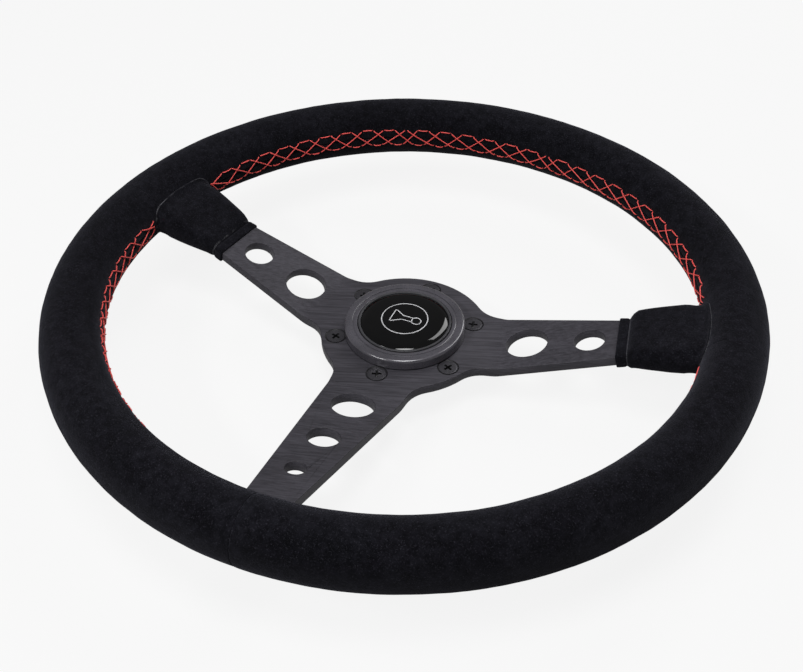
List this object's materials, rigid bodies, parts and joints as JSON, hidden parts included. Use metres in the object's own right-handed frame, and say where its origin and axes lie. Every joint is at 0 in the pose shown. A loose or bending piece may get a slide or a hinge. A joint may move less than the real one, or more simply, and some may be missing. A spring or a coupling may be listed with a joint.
{
  "type": "steering wheel",
  "caption": "Dished three-spoke competition steering wheel with a suede grip, cross-stitched seam, side thumb sleeves and a centre horn button.",
  "frame": {"origin": "centre of the hub's rear seating face, on the steering axis", "axes": "+Z along the steering axis towards the driver, +Y to twelve o'clock, +X to the driver's right"},
  "size_m": [0.35, 0.35, 0.0607],
  "materials": {
    "anodised_plate": "satin",
    "hoop_aluminium": "satin",
    "grip_foam": "matte",
    "suede": "matte",
    "red_thread": "matte",
    "black_screw": "satin",
    "gasket_rubber": "matte",
    "bezel_black": "satin",
    "cup_plastic": "matte",
    "spring_steel": "satin",
    "cap_plastic": "satin",
    "emblem_gloss": "gloss",
    "contact_brass": "satin",
    "small_screw": "satin"
  },
  "bodies": {
    "wheel": {"spoke_plate": "anodised_plate", "rim_hoop": "hoop_aluminium", "hoop_rivets": "hoop_aluminium", "rim_foam": "grip_foam", "cover_top": "suede", "cover_left": "suede", "cover_right": "suede", "pad_left": "grip_foam", "pad_right": "grip_foam", "sleeve_left": "suede", "sleeve_right": "suede", "stitching_top": "red_thread", "stitching_left": "red_thread", "stitching_right": "red_thread", "hub_screws": "black_screw", "horn_gasket": "gasket_rubber", "horn_bezel": "bezel_black", "horn_cup": "cup_plastic", "horn_clip": "spring_steel", "horn_spring": "spring_steel", "contact_ring": "contact_brass", "contact_ring_screws": "small_screw", "horn_terminals": "contact_brass"},
    "horn_button": {"horn_cap": "cap_plastic", "horn_emblem": "emblem_gloss", "contact_disc": "contact_brass", "contact_screw": "small_screw"}
  },
  "joints": [
    {"name": "horn_press", "type": "slide", "parent": "wheel", "child": "horn_button", "axis": [0, 0, -1], "range_m": [0, 0.002], "stiffness_N_per_m": 1500, "springref_m": -0.002, "deforming": ["horn_spring"]}
  ]
}
